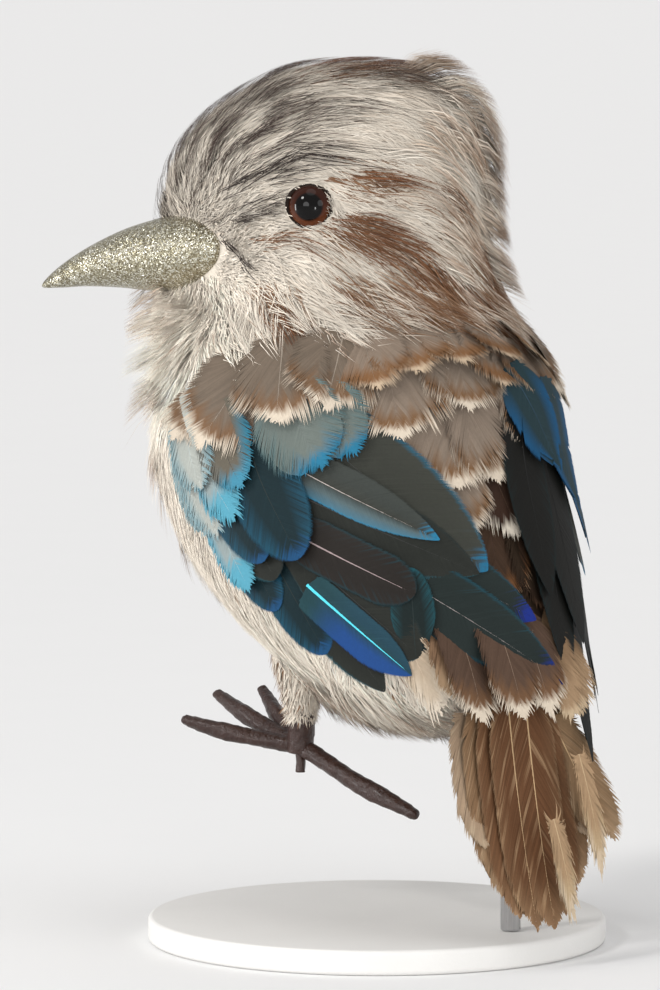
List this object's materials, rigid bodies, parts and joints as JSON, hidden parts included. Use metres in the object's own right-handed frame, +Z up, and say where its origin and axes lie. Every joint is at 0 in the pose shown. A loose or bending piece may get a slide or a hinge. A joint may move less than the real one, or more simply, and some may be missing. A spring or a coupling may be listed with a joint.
{
  "type": "decorative kookaburra ornament",
  "caption": "Seated decorative kookaburra with fur coat, dyed feather wings and tail, moulded glitter bill, glass eyes and wrapped-wire feet, held on a plain display stand by a rod.",
  "frame": {"origin": "centre of the stand's underside", "axes": "+Z up, -Y the way the body faces, +X the body's left"},
  "size_m": [0.0954, 0.1066, 0.1766],
  "materials": {
    "fur": "soft cream fur with brown hair tips",
    "bill": "champagne glitter",
    "eye": "polished amber brown with a black pupil",
    "back_feather": "taupe and brown feathers with cream edges",
    "wing_feather": "dark teal feathers with blue edges",
    "tail_feather": "mottled brown feathers",
    "foot": "dark brown wrapped wire, satin",
    "stand": "matte off-white",
    "rod": "brushed"
  },
  "bodies": {
    "root": {"head": "fur", "neck": "fur", "torso": "fur", "bill": "bill", "eye_left": "eye", "eye_right": "eye", "mantle": "back_feather", "wing_left": "wing_feather", "wing_right": "wing_feather", "tail": "tail_feather", "thigh_left": "fur", "thigh_right": "fur", "foot_left": "foot", "foot_right": "foot", "stand_base": "stand", "stand_rod": "rod"}
  },
  "joints": []
}
